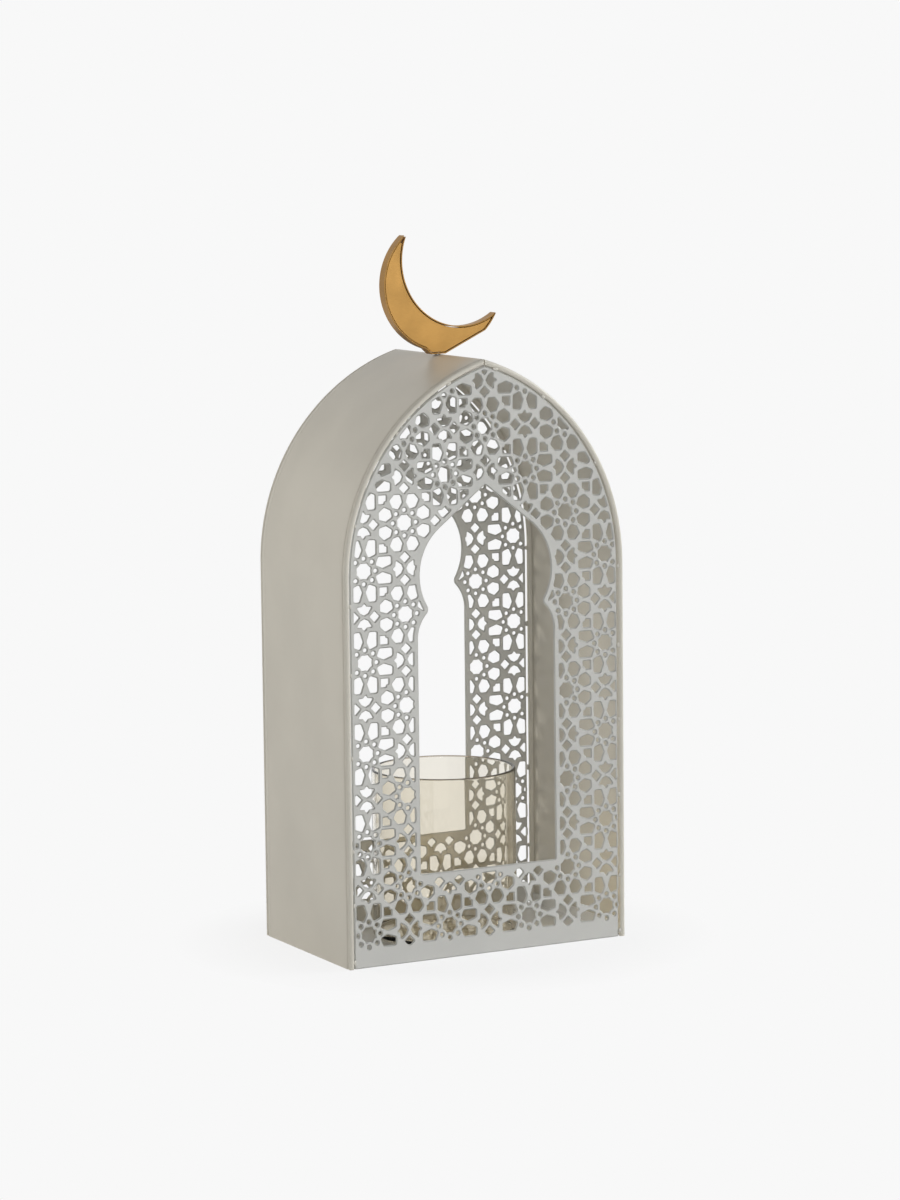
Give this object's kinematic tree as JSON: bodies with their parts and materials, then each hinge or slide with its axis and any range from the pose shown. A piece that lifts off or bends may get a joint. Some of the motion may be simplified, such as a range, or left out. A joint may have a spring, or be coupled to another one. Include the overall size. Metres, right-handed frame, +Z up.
{
  "type": "candle lantern",
  "caption": "Arched sheet-metal table lantern with star-lattice front and back faces, keyhole openings, a clear glass cup and a brass crescent on the ridge.",
  "frame": {"origin": "bottom centre of the lantern, on the underside of the base tray", "axes": "+X to the right across the front face, +Y from the front face to the back, +Z up to the crescent"},
  "size_m": [0.2032, 0.125, 0.4627],
  "materials": {
    "shell_paint": "satin",
    "face_paint": "satin",
    "tray_paint": "satin",
    "cup_glass": "polished",
    "plate_brass": "satin",
    "band_brass": "satin",
    "fixing_zinc": "satin",
    "saddle_metal": "matte"
  },
  "bodies": {
    "lantern": {"shell_strip": "shell_paint", "front_lattice": "face_paint", "back_lattice": "face_paint", "base_tray": "tray_paint", "crescent_front_plate": "plate_brass", "crescent_back_plate": "plate_brass", "crescent_outer_band": "band_brass", "crescent_inner_band": "band_brass", "crescent_bolt": "fixing_zinc", "ridge_saddle": "saddle_metal", "ridge_nut": "fixing_zinc"},
    "cup": {"glass_cup": "cup_glass"}
  },
  "joints": [
    {"name": "cup_lift", "type": "slide", "parent": "lantern", "child": "cup", "axis": [0, 0, 1], "range_m": [0, 0.06]}
  ]
}
